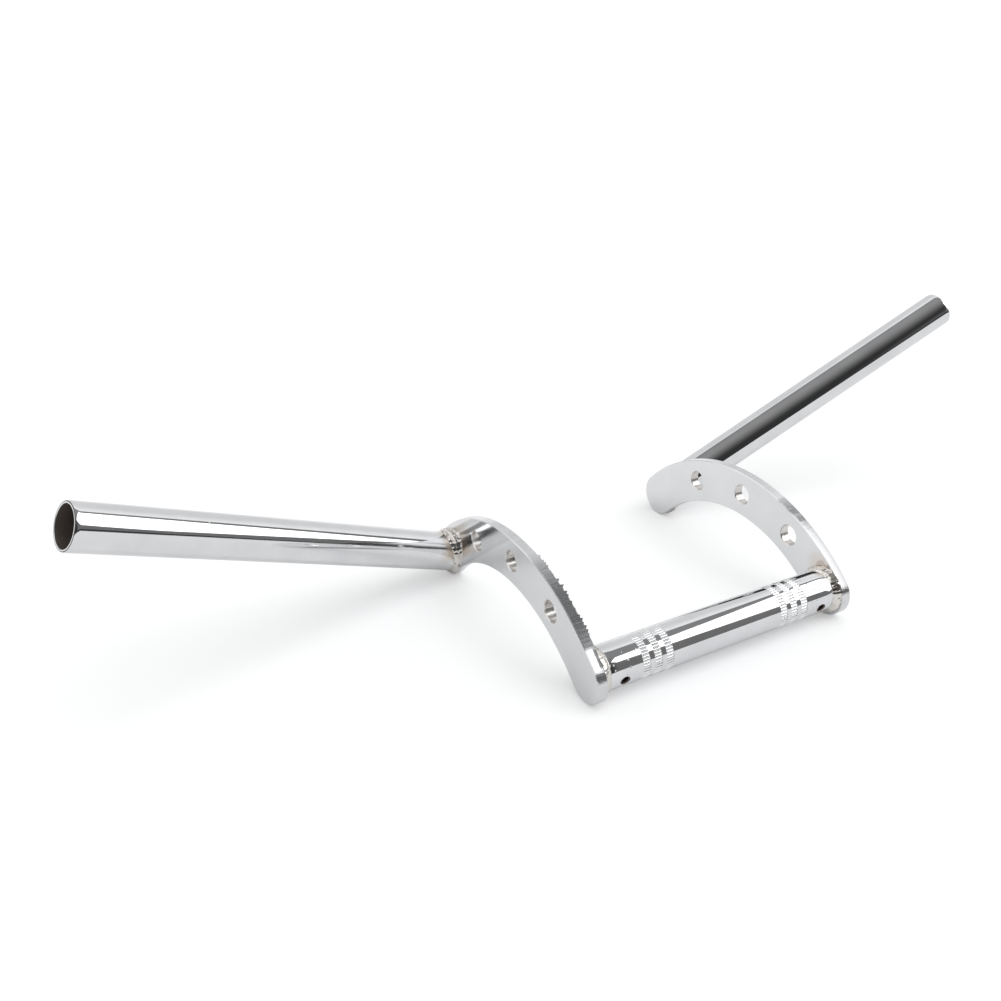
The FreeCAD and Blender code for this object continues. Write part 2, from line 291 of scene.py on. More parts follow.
# mesh helpers
def finishMesh(name, bm, materials, sharpAngle):
    mesh = bpy.data.meshes.new(name)
    bmesh.ops.recalc_face_normals(bm, faces=bm.faces[:])
    bm.to_mesh(mesh)
    bm.free()
    for mat in materials:
        mesh.materials.append(mat)
    mesh.polygons.foreach_set("use_smooth", [True] * len(mesh.polygons))
    mesh.set_sharp_from_angle(angle=math.radians(sharpAngle))
    piece = bpy.data.objects.new(name, mesh)
    bpy.context.scene.collection.objects.link(piece)
    return piece


def settle(piece):
    # turn the modifiers' result into the piece's own plain mesh
    graph = bpy.context.evaluated_depsgraph_get()
    made = bpy.data.meshes.new_from_object(piece.evaluated_get(graph), depsgraph=graph)
    piece.modifiers.clear()
    piece.data = made
    made.name = piece.name
    return piece


def place(piece, slot, *nodes):
    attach(piece, "root")
    if nodes:
        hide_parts(*nodes)
    print("placed", piece.name, len(piece.data.polygons), "faces")


def circleRound(axis, radius, count):
    # points round an axis that isn't upright
    sideways = axis.cross(Vector((0, 0, 1))).normalized()
    upward = axis.cross(sideways)
    turns = [math.tau * k / count for k in range(count)]
    return [(math.cos(turn) * sideways + math.sin(turn) * upward) * radius for turn in turns]


def bridge(bm, here, there, finish=0):
    # faces between two closed loops of points
    for k in range(len(here)):
        n = (k + 1) % len(here)
        face = bm.faces.new((here[k], here[n], there[n], there[k]))
        face.material_index = finish


def turnedShell(name, profile, origin, axis, around, materials, sharpAngle, footX=None):
    # profile: closed list of (distance along the axis, radius, material of the strip that follows);
    # a distance of None lies on the flat plate face at x = footX
    bm = bmesh.new()
    rings = []
    for along, radius, _ in profile:
        ring = []
        for out in circleRound(axis, radius, around):
            reach = along if along is not None else (footX - origin.x - out.x) / axis.x
            ring.append(bm.verts.new(origin + axis * reach + out))
        rings.append(ring)
    for index, (_, _, finish) in enumerate(profile):
        bridge(bm, rings[index], rings[(index + 1) % len(rings)], finish)
    return finishMesh(name, bm, materials, sharpAngle)


# grip tubes
gripTube = {
    "outerRadius": 12.7 * mm,
    "boreRadius": 11.05 * mm,
    "length": 254 * mm,
    "lip": 0.25 * mm,
    "mouth": (2.6 * mm, 0.6 * mm),  # rounding of the mouth's outer edge, along and across
    # a strip of painted shade runs round the mouth's outer edge and this far onto the end face
    "paintedShadeLine": 0.2 * mm,
    "paintedShadeFrom": 1.0,               # radians round that edge from where a strip of painted shade, in the bore's dark steel, begins
    "lipSteps": 8,
    "around": 192,
    "sharpAngle": 35,
    "look": {
        "bright": (0.86, 0.865, 0.875, 1), "shade": (0.78, 0.785, 0.80, 1), "cloudScale": 45.0,
        "polish": (0.035, 0.075), "waveScale": 24.0, "waveHeight": 0.10 * mm,
        "grainScale": 1500.0, "grainHeight": 0.0016 * mm,
        "heat": footHeat(27.5 * mm, 18.2 * mm, 0.85, 0.36),
        "pits": {"perMetre": 150.0, "share": 0.05, "size": 0.07, "depth": 0.12 * mm,
                 "colour": (0.9, 0.9, 0.9, 1), "dull": 0.35},
    },
    "bore": {
        "metal": 0.2, "dark": (0.085, 0.070, 0.060, 1), "rust": (0.12, 0.095, 0.08, 1),
        "scale": 90.0, "detail": 5.0, "grit": 0.65, "colourSpan": (0.35, 0.65),
        "polishSpan": (0.3, 0.7), "polish": (0.5, 0.85), "grainScale": 720.0, "grainHeight": 0.1 * mm,
    },
}
gripChrome = chromeFinish("gripChrome", gripTube["look"])
boreSteel = dullFinish("boreSteel", gripTube["bore"])


def gripProfile():
    # from the plate along the outside, round the worn mouth, whose outer edge carries a strip of painted
    # shade, and back through the bore
    end, outer, inner = gripTube["length"], gripTube["outerRadius"], gripTube["boreRadius"]
    lip, (deep, wide), steps = gripTube["lip"], gripTube["mouth"], gripTube["lipSteps"]
    profile = [(None, outer, 0)]
    quarter = [math.pi / 2 * k / steps for k in range(steps + 1)]
    for a in quarter:
        # past that angle the strip takes the bore's dark steel as painted shade
        inPaintedShade = int(a > gripTube["paintedShadeFrom"])
        profile.append((end - deep + deep * math.sin(a), outer - wide + wide * math.cos(a), inPaintedShade))
    # the painted shade strip ends this far in on the end face
    profile.append((end, outer - wide - gripTube["paintedShadeLine"], 0))
    for a in quarter:
        inside = int(a == quarter[-1])
        profile.append((end - lip + lip * math.cos(a), inner + lip - lip * math.sin(a), inside))
    return profile + [(None, inner, 0)]


for name, side in sides.items():
    tube = turnedShell(name + "GripTube", gripProfile(), gripFoot(side), gripAxis(side), gripTube["around"],
                       [gripChrome, boreSteel], gripTube["sharpAngle"], side * layout["outerFace"])
    place(tube, "chrome_grip", name + "_grip_tube")


# clamp bar with its ring seats, and the ridges that stand in them
clampBar = {
    "radius": 12.7 * mm,
    "boreRadius": 11.05 * mm,
    "noseRadius": 11.6 * mm,       # bevel under the weld bead
    "bevel": 3.5 * mm,
    "bandSpacing": 97.2 * mm,
    "rings": 3,
    "ringWidth": 4.6 * mm,
    "ringStep": 7.7 * mm,
    "ridges": 42,
    "grooveDepth": 0.45 * mm,
    "crestSteps": 10,
    "ridgeSharp": 25,
    "ventX": 70.3 * mm,
    "ventRadius": 2.4 * mm,
    "ventSink": 0.6 * mm,          # depth of the countersunk rim
    "ventFlare": (1.2, 2.2),       # where the sink starts and how wide it gets, in sinks
    "ventAngle": math.radians(14.8),
    "ventMargin": 4 * mm,          # plain skin kept each side of a vent
    "drill": {"inside": 5 * mm, "above": 4 * mm, "steps": 48},
    "around": 256,
    "sharpAngle": 30,
    "look": {
        "bright": (0.86, 0.865, 0.88, 1), "shade": (0.78, 0.785, 0.80, 1), "cloudScale": 60.0,
        "polish": (0.035, 0.08), "waveScale": 30.0, "waveHeight": 0.07 * mm,
        "grainScale": 1600.0, "grainHeight": 0.0018 * mm,
        "pits": {"perMetre": 420.0, "share": 0.22, "size": 0.28, "depth": 0.30 * mm,
                 "colour": (0.92, 0.92, 0.92, 1), "dull": 0.35, "fromX": 60 * mm},
    },
    # the ridges get a lighter chrome than the bar: a painted sheen standing in for the highlights on each
    # ridge
    "ridgePaintedSheenLook": {
        "bright": (0.96, 0.963, 0.97, 1), "shade": (0.91, 0.913, 0.92, 1), "cloudScale": 60.0,
        "polish": (0.20, 0.28), "waveScale": 90.0, "waveHeight": 0.03 * mm,
        "grainScale": 1600.0, "grainHeight": 0.002 * mm,
    },
}
barChrome = chromeFinish("barChrome", clampBar["look"])
ridgeChrome = chromeFinish("ridgeChrome", clampBar["ridgePaintedSheenLook"])
firstRing = clampBar["bandSpacing"] / 2 - clampBar["ringStep"] * (clampBar["rings"] - 1) / 2


def barProfile():
    outer, half, bore = clampBar["radius"], layout["innerFace"], clampBar["boreRadius"]
    floor = outer - clampBar["grooveDepth"]
    centres = [firstRing + clampBar["ringStep"] * k for k in range(clampBar["rings"])]
    outside = [(-half, clampBar["noseRadius"]), (clampBar["bevel"] - half, outer)]
    for centre in sorted([-c for c in centres] + centres):
        low, high = centre - clampBar["ringWidth"] / 2, centre + clampBar["ringWidth"] / 2
        outside += [(low, outer), (low, floor), (high, floor), (high, outer)]
    outside += [(half - clampBar["bevel"], outer), (half, clampBar["noseRadius"])]
    vent, margin = clampBar["ventX"], clampBar["ventMargin"]
    for x in (-vent - margin, -vent + margin, vent - margin, vent + margin):
        outside.append((x, outer))
    outside.sort(key=lambda point: point[0])
    return [(x, radius, 0) for x, radius in outside] + [(half, bore, 1), (-half, bore, 0)]


clampTube = turnedShell("clampBar", barProfile(), Vector((0, 0, 0)), Vector((1, 0, 0)), clampBar["around"],
                        [barChrome, boreSteel], clampBar["sharpAngle"])


def drillVents(tube):
    bm = bmesh.new()
    down = Vector((0, -math.cos(clampBar["ventAngle"]), -math.sin(clampBar["ventAngle"])))
    turn = Vector((0, 0, 1)).rotation_difference(down).to_matrix().to_4x4()
    radius, sink, skin = clampBar["ventRadius"], clampBar["ventSink"], clampBar["radius"]
    deep, wide = [flare * sink for flare in clampBar["ventFlare"]]
    bottom, top = skin - clampBar["drill"]["inside"], skin + clampBar["drill"]["above"]
    section = [(0, bottom), (radius, bottom), (radius, skin - deep),
               (radius + wide, skin + sink), (radius + wide, top), (0, top)]
    for sign in sides.values():
        made = [bm.verts.new((r, 0, z)) for r, z in section]
        line = [bm.edges.new(pair) for pair in zip(made, made[1:])]
        bmesh.ops.spin(bm, geom=made + line, cent=(0, 0, 0), axis=(0, 0, 1), angle=math.tau,
                       steps=clampBar["drill"]["steps"])
        fresh = [v for v in bm.verts if not v.tag]
        bmesh.ops.transform(bm, matrix=turn, verts=fresh)
        bmesh.ops.translate(bm, vec=Vector((sign * clampBar["ventX"], 0, 0)), verts=fresh)
        for v in fresh:
            v.tag = True
    bmesh.ops.remove_doubles(bm, verts=bm.verts[:], dist=0.001 * mm)
    drill = finishMesh("ventDrill", bm, [boreSteel], clampBar["sharpAngle"])
    cut = tube.modifiers.new("vents", "BOOLEAN")
    cut.object = drill
    cut.operation = "DIFFERENCE"
    cut.solver = "EXACT"
    settle(tube)
    bpy.data.objects.remove(drill)


drillVents(clampTube)
place(clampTube, "chrome_bar", "clamp_bar")


def ridgeBlank():
    # one ridge: a round crest that touches the bar's own curve and falls to the ring seat
    depth, steps = clampBar["grooveDepth"], clampBar["crestSteps"]
    half = math.pi * clampBar["radius"] / clampBar["ridges"]
    curve = (half ** 2 + depth ** 2) / (2 * depth)
    spread = math.asin(half / curve)
    section = []
    for k in range(steps + 1):
        lean = spread * (2 * k / steps - 1)
        section.append((curve * math.sin(lean), curve * (math.cos(lean) - 1)))
    bm = bmesh.new()
    ends = (-clampBar["ringWidth"] / 2, clampBar["ringWidth"] / 2)
    rows = [[bm.verts.new((x, y, z)) for y, z in section] for x in ends]
    for k in range(len(section) - 1):
        bm.faces.new((rows[0][k], rows[1][k], rows[1][k + 1], rows[0][k + 1]))
    for row in rows:
        bm.faces.new(row)
    bm.faces.new((rows[0][0], rows[0][-1], rows[1][-1], rows[1][0]))
    return finishMesh("ridgeBlank", bm, [ridgeChrome], clampBar["ridgeSharp"])


# geometry node helpers
def newTree(name, sockets):
    tree = bpy.data.node_groups.new(name, "GeometryNodeTree")
    tree.interface.new_socket("Geometry", in_out="INPUT", socket_type="NodeSocketGeometry")
    for label, kind in sockets.items():
        tree.interface.new_socket(label, in_out="INPUT", socket_type="NodeSocket" + kind)
    tree.interface.new_socket("Geometry", in_out="OUTPUT", socket_type="NodeSocketGeometry")
    return tree, addNode(tree, "NodeGroupInput").outputs


def joined(tree, *parts):
    join = addNode(tree, "GeometryNodeJoinGeometry")
    for part in parts:
        tree.links.new(part, join.inputs[0])
    return join.outputs[0]


def closeTree(tree, geometry, finish):
    whole = geoNode(tree, "RealizeInstances", {"Geometry": geometry})
    painted = geoNode(tree, "SetMaterial", {"Geometry": whole, "Material": finish})
    addNode(tree, "NodeGroupOutput", {"Geometry": painted})


def runTree(piece, tree, values):
    made = piece.modifiers.new(tree.name, "NODES")
    made.node_group = tree
    for item in tree.interface.items_tree:
        if item.in_out == "INPUT" and item.name in values:
            made[item.identifier] = values[item.name]
    return settle(piece)


def knurlTree():
    tree, given = newTree("knurlBands", {
        "Ridges": "Int", "Rings": "Int", "Bar Radius": "Float", "First Ring": "Float",
        "Ring Step": "Float", "Ridge": "Object", "Finish": "Material",
    })
    ring = geoNode(tree, "MeshCircle", {"Vertices": given["Ridges"], "Radius": given["Bar Radius"]})
    ring = geoNode(tree, "Transform", {"Geometry": ring, "Rotation": (0, math.pi / 2, 0)})
    spot = geoNode(tree, "InputPosition")
    outward = addNode(tree, "FunctionNodeAlignRotationToVector", {"Vector": spot}, axis="Z", pivot_axis="X")
    ridge = addNode(tree, "GeometryNodeObjectInfo", {"Object": given["Ridge"]}).outputs["Geometry"]
    ring = geoNode(tree, "InstanceOnPoints",
                   {"Points": ring, "Instance": ridge, "Rotation": outward.outputs[0]})
    step = addNode(tree, "ShaderNodeCombineXYZ", {"X": given["Ring Step"]}).outputs[0]
    gaps = mathNode(tree, "SUBTRACT", given["Rings"], 1.0)
    last = mathNode(tree, "MULTIPLY_ADD", gaps, given["Ring Step"], given["First Ring"])
    bands = []
    for start in (given["First Ring"], mathNode(tree, "MULTIPLY", last, -1.0)):
        begin = addNode(tree, "ShaderNodeCombineXYZ", {"X": start}).outputs[0]
        ports = {"Count": given["Rings"], "Start Location": begin, "Offset": step}
        bands.append(geoNode(tree, "MeshLine", ports))
    rows = geoNode(tree, "InstanceOnPoints", {"Points": joined(tree, *bands), "Instance": ring})
    closeTree(tree, rows, given["Finish"])
    return tree


blank = ridgeBlank()
knurl = finishMesh("knurlRidges", bmesh.new(), [ridgeChrome], clampBar["ridgeSharp"])
runTree(knurl, knurlTree(), {
    "Ridges": clampBar["ridges"], "Rings": clampBar["rings"], "Bar Radius": clampBar["radius"],
    "First Ring": firstRing, "Ring Step": clampBar["ringStep"], "Ridge": blank, "Finish": ridgeChrome,
})
bpy.data.objects.remove(blank)
place(knurl, "chrome_bar")


# riser plates
riserPlate = {
    "width": 29.2 * mm,
    "archRadius": 116.4 * mm,
    "barReach": 2.0 * mm,
    "gripReach": 2.5 * mm,
    "holes": 3,
    "holeRadius": 6.35 * mm,
    "holePitch": math.radians(22.4),
    "holeShift": math.radians(2.6),
    "edge": 0.5 * mm,
    "endSteps": 72,
    "innerSteps": 140,
    "holeSteps": 72,
    "sharpAngle": 30,
    "saw": {                       # cuts left by the saw on the outside of the arch
        "count": 460, "fine": 0.05 * mm, "tooth": 5, "strip": 0.6 * mm, "ramp": 0.04,
        "left": {"seed": 5, "from": 0.60, "to": 0.95, "burr": 2.4 * mm},
        "right": {"seed": 12, "from": 0.66, "to": 0.77, "burr": 0.8 * mm},
    },
    "face": {
        "bright": (0.89, 0.895, 0.90, 1), "shade": (0.84, 0.845, 0.85, 1), "cloudScale": 38.0,
        "polish": (0.09, 0.15), "waveScale": 30.0, "waveHeight": 0.05 * mm,
        "grainScale": 900.0, "grainHeight": 0.006 * mm,
        "heat": footHeat(23 * mm, 17 * mm, 0.35, 0.25) + barHeat(16 * mm, 7 * mm, 0.6),
    },
    "rim": {
        "bright": (0.86, 0.865, 0.875, 1), "shade": (0.76, 0.765, 0.78, 1), "cloudScale": 60.0,
        "polish": (0.10, 0.18), "waveScale": 45.0, "waveHeight": 0.10 * mm,
        "grainScale": 1200.0, "grainHeight": 0.004 * mm,
        "heat": footHeat(25 * mm, 17 * mm, 0.3, 0.3),
        "sawn": {
            "radius": 131 * mm, "perMetre": 900.0, "stretch": 0.10, "depth": 0.08 * mm,
            "stain": 0.25, "colour": (0.45, 0.45, 0.46, 1),
            # patches of painted reflection: degrees round the arch, and distance outwards from the inner
            # face
            "paintedReflectionPatches": (
                # left rim: dark patches that are partly the real dull sawn steel and partly painted
                # reflection
                {"side": -1, "degrees": (99, 107, 128, 130.5), "across": (-3 * mm, -2 * mm),
                 "streak": 0.6, "colour": (0.28, 0.285, 0.29, 1), "dull": 0.34},
                {"side": -1, "degrees": (117, 126, 129.5, 130.5), "across": (-3 * mm, -2 * mm),
                 "streak": 0.75, "colour": (0.19, 0.193, 0.197, 1), "dull": 0.34},
                {"side": -1, "degrees": (129, 131, 134.5, 136), "across": (2.6 * mm, 1.9 * mm),
                 "streak": 0.8, "colour": (0.12, 0.12, 0.12, 1), "dull": 0.3},
                # right rim: a dark patch of painted reflection, then a pale grey painted reflection that
                # darkens towards the outer face
                {"side": 1, "degrees": (106, 107.2, 112.2, 113.2), "across": (-3 * mm, -2 * mm),
                 "streak": 0.2, "colour": (0.26, 0.26, 0.265, 1), "dull": 0.26},
                {"side": 1, "degrees": (112.5, 115, 136, 138.5), "across": (0.2 * mm, 1.2 * mm),
                 "streak": 1.0, "colour": (0.52, 0.52, 0.525, 1), "dull": 0.1},
                {"side": 1, "degrees": (112.5, 115, 136, 138.5), "across": (0.2 * mm, 6.3 * mm),
                 "streak": 0.96, "colour": (0.33, 0.33, 0.334, 1), "dull": 0.12},
            ),
        },
    },
    "holeWall": {
        "bright": (0.86, 0.85, 0.84, 1), "shade": (0.66, 0.62, 0.58, 1), "cloudScale": 160.0,
        "polish": (0.20, 0.30), "waveScale": 90.0, "waveHeight": 0.05 * mm,
        "grainScale": 1500.0, "grainHeight": 0.008 * mm,
    },
}
plateChrome = chromeFinish("plateChrome", riserPlate["face"])
rimChrome = chromeFinish("rimChrome", riserPlate["rim"])
holeChrome = chromeFinish("holeChrome", riserPlate["holeWall"])


def onArch(radius, angle):
    centre = layout["archCentre"]
    return centre.y + radius * math.cos(angle), centre.z + radius * math.sin(angle)


def arcPoints(centre, radius, start, end, count, cut=None):
    points = []
    for k in range(count):
        angle = start + (end - start) * k / count
        reach = radius - (cut[k] if cut else 0.0)
        points.append((centre[0] + reach * math.cos(angle), centre[1] + reach * math.sin(angle)))
    return points


def plateLoops(inset, cuts=None):
    # outline first, then the holes, drawn at a distance inside the plate's true edge
    mid, half = riserPlate["archRadius"], riserPlate["width"] / 2
    ends, pitch, count = riserPlate["endSteps"], riserPlate["holePitch"], riserPlate["holes"]
    halfSpan = math.asin(layout["gripOffset"] / 2 / mid)
    barEnd = math.pi / 2 + halfSpan + riserPlate["barReach"] / mid
    gripEnd = math.pi / 2 - halfSpan - riserPlate["gripReach"] / mid
    middle = (layout["archCentre"].y, layout["archCentre"].z)
    outline = arcPoints(middle, mid + half - inset, gripEnd, barEnd, riserPlate["saw"]["count"], cuts)
    outline += arcPoints(onArch(mid, barEnd), half - inset, barEnd, barEnd + math.pi, ends)
    outline += arcPoints(middle, mid - half + inset, barEnd, gripEnd, riserPlate["innerSteps"])
    outline += arcPoints(onArch(mid, gripEnd), half - inset, gripEnd + math.pi, gripEnd + math.tau, ends)
    first = math.pi / 2 + riserPlate["holeShift"] - pitch * (count - 1) / 2
    centres = [onArch(mid, first + pitch * k) for k in range(count)]
    wall, steps = riserPlate["holeRadius"] + inset, riserPlate["holeSteps"]
    return [outline] + [arcPoints(centre, wall, 0, math.tau, steps) for centre in centres]


def easeIn(value, low, high):
    t = min(max((value - low) / (high - low), 0.0), 1.0)
    return t * t * (3 - 2 * t)


def sawMarks(name):
    # fine cuts over the whole arch, and a burr that hangs over the inner face on one stretch
    saw, spot = riserPlate["saw"], riserPlate["saw"][name]
    chance = random.Random(spot["seed"])
    cuts, burr, tooth = [], [], 1.0
    for k in range(saw["count"]):
        along = k / saw["count"]
        window = easeIn(along, spot["from"], spot["from"] + saw["ramp"])
        window *= 1 - easeIn(along, spot["to"] - saw["ramp"], spot["to"])
        if k % saw["tooth"] == 0:
            tooth = chance.random()
        cuts.append(saw["fine"] * chance.random())
        slope = 1 - (k % saw["tooth"]) / saw["tooth"]
        burr.append(spot["burr"] * window * tooth * slope)
    return cuts, burr


def buildPlate(name, side):
    edge = riserPlate["edge"]
    strip = edge + riserPlate["saw"]["strip"]
    cuts, burr = sawMarks(name)
    near, far = side * layout["innerFace"], side * layout["outerFace"]
    layers = [(near, edge, None), (near + side * edge, 0.0, cuts), (near + side * strip, 0.0, cuts),
              (far - side * edge, 0.0, cuts), (far, edge, None)]
    bm = bmesh.new()
    stacks = []
    for x, inset, cut in layers:
        stacks.append([[bm.verts.new((x, y, z)) for y, z in loop] for loop in plateLoops(inset, cut)])
    for vert, drift in zip(stacks[1][0], burr):
        vert.co.x -= side * drift
    for lower, upper in zip(stacks, stacks[1:]):
        for index, (here, there) in enumerate(zip(lower, upper)):
            bridge(bm, here, there, 2 if index else 1)
    for stack in (stacks[0], stacks[-1]):
        rimEdges = []
        for loop in stack:
            rimEdges += [bm.edges.get((loop[k], loop[(k + 1) % len(loop)])) for k in range(len(loop))]
        bmesh.ops.triangle_fill(bm, use_beauty=True, use_dissolve=False, edges=rimEdges)
    finishes = [plateChrome, rimChrome, holeChrome]
    plate = finishMesh(name + "RiserPlate", bm, finishes, riserPlate["sharpAngle"])
    for face in plate.data.polygons:
        face.use_smooth = face.material_index > 0      # the burr must not shade the flat faces
    return plate


for name, side in sides.items():
    place(buildPlate(name, side), "chrome_plate", name + "_riser_plate")


# weld beads: a fillet swept round the joint, then made lumpy, with drops of spatter
weldBead = {
    "around": 200,
    "across": 10,
    "root": 0.5 * mm,              # depth that the bead reaches into both pieces
    "wander": 1.2,                 # how far the lumps push the ripples along
    "lumpDetail": 2.0,
    "swing": (4.0, -2.0),          # turns the noise into a push in and out
    "dropSizes": (0.4, 1.0),
    "sharpAngle": 60,
    "bar": {
        "leg": 4.2 * mm, "rise": 2.4 * mm, "extra": 0.25, "bulge": 0.35 * mm,
        "lump": 0.30 * mm, "lumpSize": 3.0 * mm, "ripple": 0.07 * mm, "ripples": 34,
        "drops": 3.6e4, "drop": 0.6 * mm, "seed": 4,
    },
    "grip": {
        "leg": 3.9 * mm, "rise": 2.3 * mm, "extra": 0.45, "bulge": 0.45 * mm,
        "lump": 0.52 * mm, "lumpSize": 1.9 * mm, "ripple": 0.08 * mm, "ripples": 34,
        "drops": 6.0e4, "drop": 0.7 * mm, "seed": 9,
    },
    "look": {
        "bright": (0.92, 0.90, 0.87, 1), "shade": (0.74, 0.69, 0.63, 1), "cloudScale": 300.0,
        "polish": (0.14, 0.26), "waveScale": 500.0, "waveHeight": 0.10 * mm,
        "grainScale": 1800.0, "grainHeight": 0.01 * mm,
        "pits": {"perMetre": 420.0, "share": 0.12, "size": 0.24, "depth": 0.35 * mm,
                 "colour": (0.16, 0.115, 0.09, 1), "dull": 0.35},
    },
}
weldChrome = chromeFinish("weldChrome", weldBead["look"])


def weldTree():
    tree, given = newTree("weldBead", {
        "Lump": "Float", "Lump Size": "Float", "Ripple": "Float", "Ripples": "Float",
        "Drops": "Float", "Drop Radius": "Float", "Seed": "Int", "Finish": "Material",
    })
    spot = geoNode(tree, "InputPosition")
    skinNormal = geoNode(tree, "InputNormal")
    along = geoNode(tree, "InputNamedAttribute", {"Name": "along"}, data_type="FLOAT")
    shows = geoNode(tree, "InputNamedAttribute", {"Name": "shows"}, data_type="FLOAT")
    finer = mathNode(tree, "DIVIDE", 1.0, given["Lump Size"])
    ports = {"Vector": spot, "W": given["Seed"], "Scale": finer, "Detail": weldBead["lumpDetail"]}
    lumps = addNode(tree, "ShaderNodeTexNoise", ports, noise_dimensions="4D").outputs[0]
    drift = mathNode(tree, "MULTIPLY", lumps, weldBead["wander"])
    turn = mathNode(tree, "MULTIPLY_ADD", along, given["Ripples"], drift)
    wave = mathNode(tree, "SINE", mathNode(tree, "MULTIPLY", turn, math.tau))
    wave = mathNode(tree, "MULTIPLY", wave, given["Ripple"])
    swell = mathNode(tree, "MULTIPLY_ADD", lumps, *weldBead["swing"])
    swell = mathNode(tree, "MULTIPLY", swell, given["Lump"])
    ports = {0: skinNormal, "Scale": mathNode(tree, "ADD", swell, wave)}
    push = addNode(tree, "ShaderNodeVectorMath", ports, operation="SCALE").outputs[0]
    skin = geoNode(tree, "SetPosition", {"Geometry": given["Geometry"], "Offset": push})
    spots = geoNode(tree, "DistributePointsOnFaces", {
        "Mesh": skin, "Selection": shows, "Density": given["Drops"], "Seed": given["Seed"],
    })
    drop = geoNode(tree, "MeshIcoSphere", {"Radius": given["Drop Radius"], "Subdivisions": 2})
    smallest, largest = weldBead["dropSizes"]
    ports = {2: smallest, 3: largest, "Seed": given["Seed"]}      # sockets 2 and 3 are the plain numbers
    size = addNode(tree, "FunctionNodeRandomValue", ports, data_type="FLOAT").outputs[1]
    spatter = geoNode(tree, "InstanceOnPoints", {"Points": spots, "Instance": drop, "Scale": size})
    smooth = geoNode(tree, "SetShadeSmooth", {"Geometry": joined(tree, spatter, skin)})
    closeTree(tree, smooth, given["Finish"])
    return tree


def barJoint(side):
    # corner points with the directions along the tube and up the plate
    rows = []
    for k in range(weldBead["around"]):
        turn = math.tau * k / weldBead["around"]
        up = Vector((0, math.cos(turn), math.sin(turn)))
        corner = Vector((side * layout["innerFace"], 0, 0)) + up * clampBar["radius"]
        rows.append((corner, Vector((-side, 0, 0)), up))
    return rows


def gripJoint(side):
    axis, foot = gripAxis(side), gripFoot(side)
    rows = []
    for out in circleRound(axis, gripTube["outerRadius"], weldBead["around"]):
        corner = foot + out - axis * (out.x / axis.x)
        rows.append((corner, axis, Vector((0, corner.y - foot.y, corner.z - foot.z)).normalized()))
    return rows


def filletMesh(name, rows, bead):
    bm = bmesh.new()
    along, shows = bm.verts.layers.float.new("along"), bm.verts.layers.float.new("shows")
    root, across = weldBead["root"], weldBead["across"]
    loops = []
    for k, (corner, leg, up) in enumerate(rows):
        reach = bead["leg"] * (1 + bead["extra"] * max(up.z, 0.0))     # fuller on the upper side
        outward = (leg * bead["rise"] + up * reach).normalized()
        points = [corner - (leg + up) * root]
        for step in range(across + 1):
            t = step / across
            flat = corner + leg * (reach * (1 - t)) + up * (bead["rise"] * t)
            sunk = up * (root * (1 - t) ** 3), leg * (root * t ** 3)   # toes sink into tube and plate
            points.append(flat + outward * (bead["bulge"] * 4 * t * (1 - t)) - sunk[0] - sunk[1])
        loop = [bm.verts.new(p) for p in points]
        for step, vert in enumerate(loop):
            vert[along] = k / len(rows)
            vert[shows] = 1.0 if 2 <= step <= across else 0.0
        loops.append(loop)
    for here, there in zip(loops, loops[1:] + loops[:1]):
        bridge(bm, here, there)
    return finishMesh(name, bm, [weldChrome], weldBead["sharpAngle"])


beadTree = weldTree()
for name, side in sides.items():
    for joint, corners in (("bar", barJoint), ("grip", gripJoint)):
        bead = weldBead[joint]
        weld = filletMesh(name + joint.title() + "Weld", corners(side), bead)
        runTree(weld, beadTree, {
            "Lump": bead["lump"], "Lump Size": bead["lumpSize"], "Ripple": bead["ripple"],
            "Ripples": bead["ripples"], "Drops": bead["drops"], "Drop Radius": bead["drop"],
            "Seed": bead["seed"] + side, "Finish": weldChrome,
        })
        place(weld, "weld_bead", name + "_" + joint + "_weld")


# studio: pale floor, soft lamp, and a room for the chrome to mirror
studio = {
    "floorZ": cadBox[0].z,
    "floorSize": 40.0,
    "floorColour": 0.80,
    "floorLift": 0.28,             # for the camera, so that the floor reads as white paper
    "mirrorLift": 0.04,            # the same for reflections
    "backLift": 0.21,              # more of it behind the object
    "backFrom": (0.15, 0.5),       # where that begins and is full
    "paperEnd": (-0.55, -0.80),    # where the paper stops in front of the object, seen in reflections
    "fade": (0.9, 2.4),            # distance over which the floor turns into plain white
    "paperTint": -0.006,
    "ambient": 0.62,
    "lampStrength": 1.05,
    "lampSpread": math.radians(55),
    "lampFrom": Vector((0.5, -0.7, 1.9)),
    "room": (0.035, 0.17),         # dark room behind the camera, ahead and to the right
    "roomTurn": (0.25, 0.55),
    "ceiling": 0.31,
    "ceilingFrom": (0.35, 1.0),
    "ceilingCurve": 1.8,
    "sheet": (1.0, 0.74, 0.95),    # paper sheet behind the object: near edge, middle and foot
    "sheetTint": -0.004,
    "sheetMiddle": 0.4,
    "sheetFoot": 0.2,
    "sheetFaces": ((0.046, 0.956, -0.289), (0.628, 0.696, -0.348), (0.866, 0.5, 0.0)),
    "softbox": 2.2,
    "boxFaces": ((0.58, 0.738, 0.346), (-0.286, -0.081, 0.955), (0.745, -0.335, -0.597),
                 (-0.19, -0.945, 0.262)),
    "sideLight": 1.1,
    "sideFrom": (-0.22, -0.26),
    "sideBack": (-0.38, 0.1),      # where it ends towards the camera, and how softly
    "sideFace": (0.243, -0.35, 0.905),
    "sideSoft": 0.04,
    "edgeSoft": 0.015,
    "groundFront": -0.1,
    "horizon": -0.01,
}


